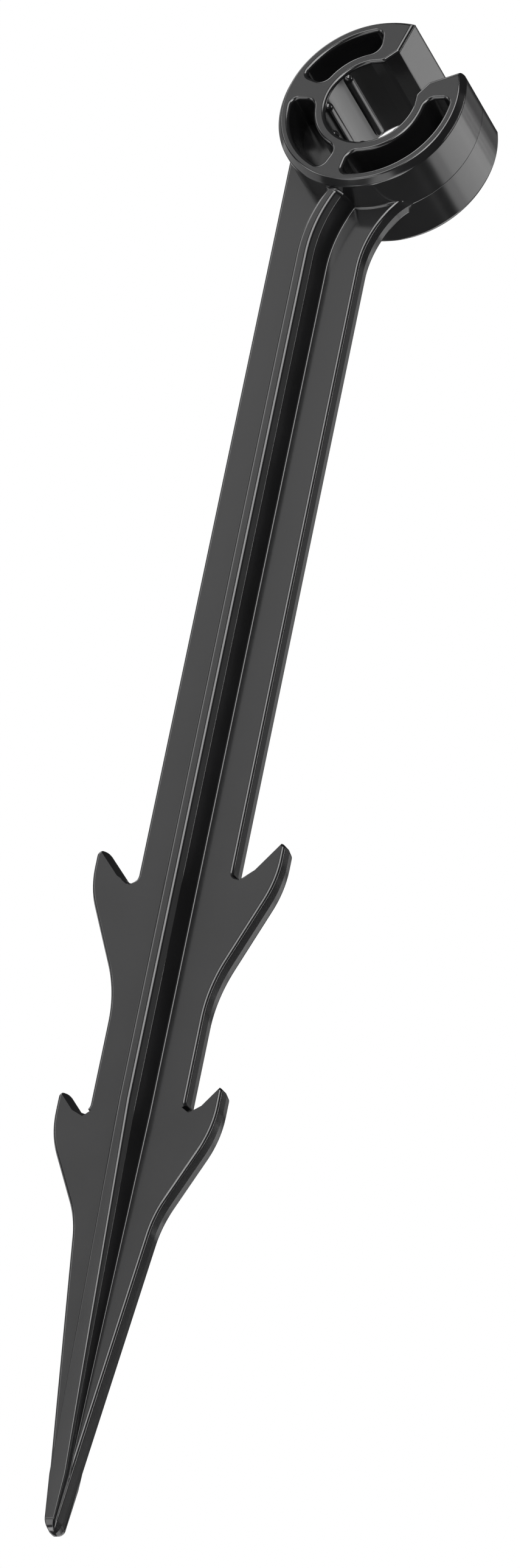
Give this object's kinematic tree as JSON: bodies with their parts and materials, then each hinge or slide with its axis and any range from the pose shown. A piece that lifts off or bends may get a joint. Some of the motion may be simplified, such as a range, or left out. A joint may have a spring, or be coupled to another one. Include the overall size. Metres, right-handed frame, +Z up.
{
  "type": "drip tube stake",
  "caption": "Slim barbed ground stake of cross-shaped section, with a C-shaped snap clip on top that holds a drip irrigation tube above the soil.",
  "frame": {"origin": "on the blade's middle line and in its middle plane, at the level of the soil when the stake is in use", "axes": "+Z up, away from the point; +Y along the tube that the clip holds, towards the back; +X towards the side of the clip's mouth"},
  "size_m": [0.0381, 0.0172, 0.266],
  "materials": {
    "stake_plastic": "fine satin moulded polypropylene, dark anthracite grey"
  },
  "bodies": {
    "stake": {"clip_hub": "stake_plastic", "neck_plate": "stake_plastic", "neck_rib_front": "stake_plastic", "neck_rib_back": "stake_plastic", "shank_plate": "stake_plastic", "spine_front": "stake_plastic", "spine_back": "stake_plastic", "barb_upper_left": "stake_plastic", "barb_upper_right": "stake_plastic", "barb_lower_left": "stake_plastic", "barb_lower_right": "stake_plastic", "point_plate": "stake_plastic", "point_rib_front": "stake_plastic", "point_rib_back": "stake_plastic"},
    "upper_jaw": {"clip_upper_jaw": "stake_plastic"},
    "lower_jaw": {"clip_lower_jaw": "stake_plastic"}
  },
  "joints": [
    {"name": "upper_jaw_flex", "type": "hinge", "parent": "stake", "child": "upper_jaw", "pos_m": [-0.00685, 0, 0.06379], "axis": [0, -1, 0], "range_deg": [0, 6], "stiffness_Nm_per_rad": 1.5},
    {"name": "lower_jaw_flex", "type": "hinge", "parent": "stake", "child": "lower_jaw", "pos_m": [0.01279, 0, 0.04642], "axis": [0, 1, 0], "range_deg": [0, 4], "stiffness_Nm_per_rad": 2}
  ]
}
